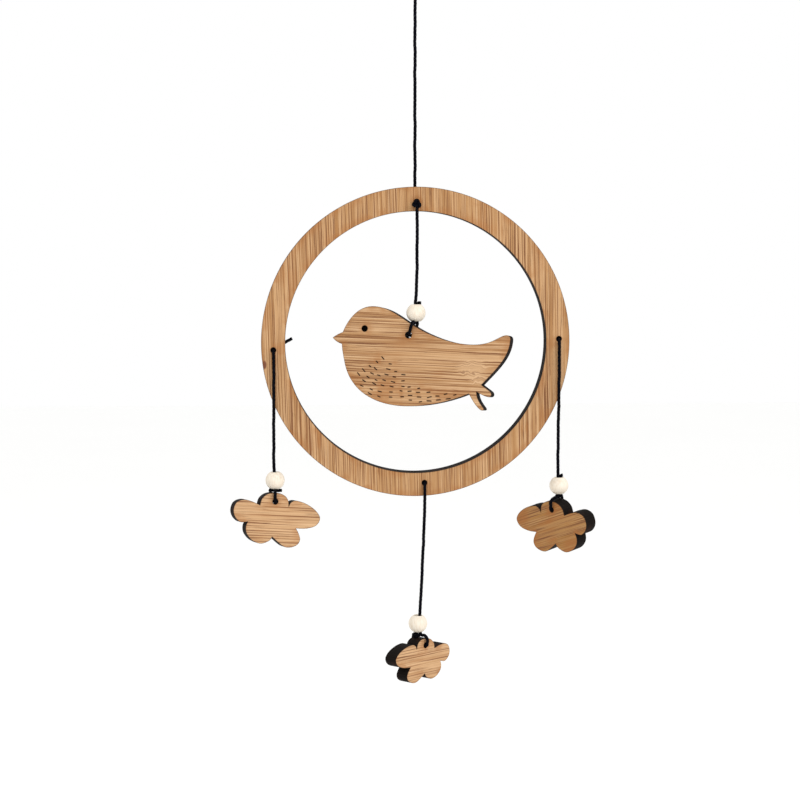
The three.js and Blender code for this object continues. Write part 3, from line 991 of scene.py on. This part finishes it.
cloudSetup = {
    "hole": 1.2,
    "outlineWidth": 36.35,
    "outlineHeight": 22.5,
    "stepsPerPoint": 12,
    # around the cord hole, one line for each lobe from its notch
    "lobes": [
        [(-6.4, -1.3), (-5.6, 1.2), (-3.3, 3.1), (0.2, 3.6), (3.5, 2.6), (5.3, 0.6)],
        [
            (5.65, -2.2), (6.5, -0.6), (8.8, 0.15), (13.0, -1.2),
            (17.0, -4.0), (18.95, -7.3), (17.3, -10.2), (13.3, -11.35),
        ],
        [(8.7, -11.2), (9.8, -13.3), (10.4, -15.8), (9.2, -17.9), (6.2, -18.9), (3.1, -18.2)],
        [(-1.4, -14.3), (-2.6, -15.9), (-6.2, -16.95), (-9.8, -15.4), (-12.0, -12.6), (-12.3, -9.9)],
        [
            (-11.5, -7.9), (-14.6, -7.95), (-16.8, -5.7), (-17.35, -2.9),
            (-16.1, 0.0), (-13.1, 1.1), (-9.7, 0.25),
        ],
    ],
    "places": {
        "cloud_left": {"hole": (-59.8, -5.0, -239.7), "yaw": 15.1, "pitch": -4.6, "roll": 1.6},
        "cloud_right": {"hole": (60.05, -5.2, -244.1), "yaw": -52.9, "pitch": 8.2, "roll": 3.3},
        "cloud_low": {"hole": (2.2, -2.4, -302.4), "yaw": 43.2, "pitch": -1.5, "roll": 10.4},
    },
    "sizes": {"cloud_left": (37.2, 23.0), "cloud_right": (-39.6, 23.4), "cloud_low": (-34.9, 18.9)},
    "grain": {
        "cloud_left": {"turn": -4.0, "seed": 15.0, "contrast": 0.9, "fair": 0.35, "smoke": 0.4},
        "cloud_right": {
            "turn": 22.7,
            "seed": 22.0,
            "contrast": 1.3,
            "tone": 0.8,
            "smoke": 0.8,
            "burns": [(-20.2, 0.9, 6.0), (4.2, -18.9, 5.5)],
        },
        "cloud_low": {"turn": 7.2, "seed": 29.0, "contrast": 0.9, "fair": 0.2, "smoke": 0.5},
    },
}


def splineThrough(points):
    # a uniform Catmull-Rom line, flat at its ends
    line = []
    for number in range(len(points) - 1):
        one = points[max(0, number - 1)]
        two, three = points[number], points[number + 1]
        four = points[min(len(points) - 1, number + 2)]
        for step in range(cloudSetup["stepsPerPoint"]):
            t = step / cloudSetup["stepsPerPoint"]
            leave, arrive = (three - one) / 2, (four - two) / 2
            line.append(
                two * (2 * t**3 - 3 * t**2 + 1)
                + leave * (t**3 - 2 * t**2 + t)
                + three * (3 * t**2 - 2 * t**3)
                + arrive * (t**3 - t**2)
            )
    line.append(points[-1])
    return line


def cloudOutline(width, height):
    wide, high = width / cloudSetup["outlineWidth"], height / cloudSetup["outlineHeight"]
    lobes = [[Vector((x * wide, z * high)) for x, z in lobe] for lobe in cloudSetup["lobes"]]
    line = []
    for number, lobe in enumerate(lobes):
        nextNotch = lobes[(number + 1) % len(lobes)][0]
        line += evenly(splineThrough(lobe + [nextNotch]), boardSetup["outlineStep"])[:-1]
    return line


def makeCloud(node):
    place = placeMatrix(**cloudSetup["places"][node])
    outline = cloudOutline(*cloudSetup["sizes"][node])
    holes = [turnedLoop(0, 0, cloudSetup["hole"], 26)]
    makeBoard("bamboo_" + node, node, outline, place, cloudSetup["grain"][node], holes=holes)


makeRing()
makeBird()
for cloudNode in cloudSetup["places"]:
    makeCloud(cloudNode)
print("boards made")

# Beads

beadSetup = {
    "radius": 4.0,
    "bore": 1.7,
    "mouth": 1.9,
    "sides": 56,
    "arcSteps": 32,
    "lipSteps": 5,
    "places": {
        "bead_bird": (-0.4, -9, -161.1),
        "bead_left": (-59.1, -5, -230.9),
        "bead_right": (61.15, -5.1, -234.4),
        "bead_low": (1.2, -2.3, -293.3),
    },
}


def beadFinish():
    finish = Finish("pale_bead_wood")
    place = finish.node("TexCoord", {}, {}, output="Object")
    local = finish.node("Mapping", {}, {"Vector": place, "Scale": (1000.0, 1000.0, 260.0)})
    grain = finish.noise(local, 1.5, 3.0, 0.6)
    pores = finish.noise(local, 4.5, 2.0, 0.6)
    soft = finish.noise(place, 130.0, 2.0)
    colour = finish.mix(grain.between(0.35, 0.7), paint(232, 222, 206), paint(222, 207, 186))
    colour = finish.mix(soft.between(0.5, 0.8) * 0.4, colour, paint(226, 212, 194))
    colour = finish.mix(pores.between(0.66, 0.8) * 0.2, colour, paint(206, 184, 152))
    rough = 0.58 + 0.12 * grain
    relief = finish.bump(grain + 0.5 * pores, 0.12, 0.0001)
    return finish.dress(**{"Base Color": colour, "Roughness": rough, "Normal": relief})


def beadProfile():
    # radius and height from the lower mouth round the outside to the upper mouth, then down the bore
    radius, bore, mouth = beadSetup["radius"], beadSetup["bore"], beadSetup["mouth"]
    start = math.asin(mouth / radius)
    outside = []
    for step in range(beadSetup["arcSteps"] + 1):
        angle = start + (math.pi - 2 * start) * step / beadSetup["arcSteps"]
        outside.append((radius * math.sin(angle), -radius * math.cos(angle)))
    lip = radius * math.cos(start)
    rounding = mouth - bore
    upper = []
    for step in range(1, beadSetup["lipSteps"] + 1):
        angle = math.pi / 2 * step / beadSetup["lipSteps"]
        upper.append((mouth - rounding * math.sin(angle), lip - rounding * (1 - math.cos(angle))))
    lower = [(r, -z) for r, z in reversed(upper)]
    return outside + upper + [(bore, 0.0)] + lower


def makeBead(node, place, material):
    profile = beadProfile()
    sides = beadSetup["sides"]
    work = bmesh.new()
    rings = []
    for side in range(sides):
        angle = 2 * math.pi * side / sides
        spots = [Vector((r * math.cos(angle), r * math.sin(angle), z)) for r, z in profile]
        rings.append([work.verts.new((spot + Vector(place)) * mm) for spot in spots])
    for side in range(sides):
        here, after = rings[side], rings[(side + 1) % sides]
        for index in range(len(profile)):
            onward = (index + 1) % len(profile)
            work.faces.new([here[index], after[index], after[onward], here[onward]])
    if work.calc_volume(signed=True) < 0:
        bmesh.ops.reverse_faces(work, faces=work.faces)
    for part in work.faces:
        part.smooth = True
    mesh = bpy.data.meshes.new("wooden_" + node)
    work.to_mesh(mesh)
    work.free()
    mesh.materials.append(material)
    piece = bpy.data.objects.new("wooden_" + node, mesh)
    scene.collection.objects.link(piece)
    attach(piece, "root")
    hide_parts(node)


beadMaterial = beadFinish()
for beadNode, beadPlace in beadSetup["places"].items():
    makeBead(beadNode, beadPlace, beadMaterial)
print("beads made")

# Floor, world and light, in metres

stageSetup = {
    "aim": (0, 0, -0.19),
    "floor": -0.62,
    "floorReach": 6.0,
    "world": (1.0, 1.0, 1.0, 1.0),
    "worldStrength": 1.0,
    "lights": {
        "key": {"place": (0.75, -0.75, 0.45), "size": 0.7, "power": 5.0},
        "fill": {"place": (-0.4, -1.2, 0.9), "size": 1.4, "power": 4.0},
    },
}


def makeFloor():
    finish = Finish("pale_floor")
    place = finish.node("TexCoord", {}, {}, output="Object")
    mottle = finish.noise(place, 2.0, 3.0)
    colour = finish.mix(mottle, paint(255, 255, 254), paint(253, 253, 252))
    finish.dress(**{"Base Color": colour, "Roughness": 0.9})
    finish.shader.inputs["Specular IOR Level"].default_value = 0.2
    reach, height = stageSetup["floorReach"], stageSetup["floor"]
    signs = ((-1, -1), (1, -1), (1, 1), (-1, 1))
    mesh = bpy.data.meshes.new("floor")
    mesh.from_pydata([(x * reach, y * reach, height) for x, y in signs], [], [(0, 1, 2, 3)])
    mesh.materials.append(finish.material)
    floor = bpy.data.objects.new("floor", mesh)
    scene.collection.objects.link(floor)


def makeWorld():
    world = bpy.data.worlds.new("studio")
    world.use_nodes = True
    background = world.node_tree.nodes["Background"]
    background.inputs["Color"].default_value = stageSetup["world"]
    background.inputs["Strength"].default_value = stageSetup["worldStrength"]
    scene.world = world


def makeLight(name, light):
    data = bpy.data.lights.new(name, "AREA")
    data.size = light["size"]
    data.energy = light["power"]
    lamp = bpy.data.objects.new(name, data)
    lamp.location = light["place"]
    lamp.rotation_mode = "QUATERNION"
    lamp.rotation_quaternion = (Vector(stageSetup["aim"]) - lamp.location).to_track_quat("-Z", "Y")
    scene.collection.objects.link(lamp)


makeFloor()
makeWorld()
for lightName, lightSetup in stageSetup["lights"].items():
    makeLight(lightName, lightSetup)
scene.view_settings.view_transform = "Standard"
scene.view_settings.look = "None"
print("stage set")
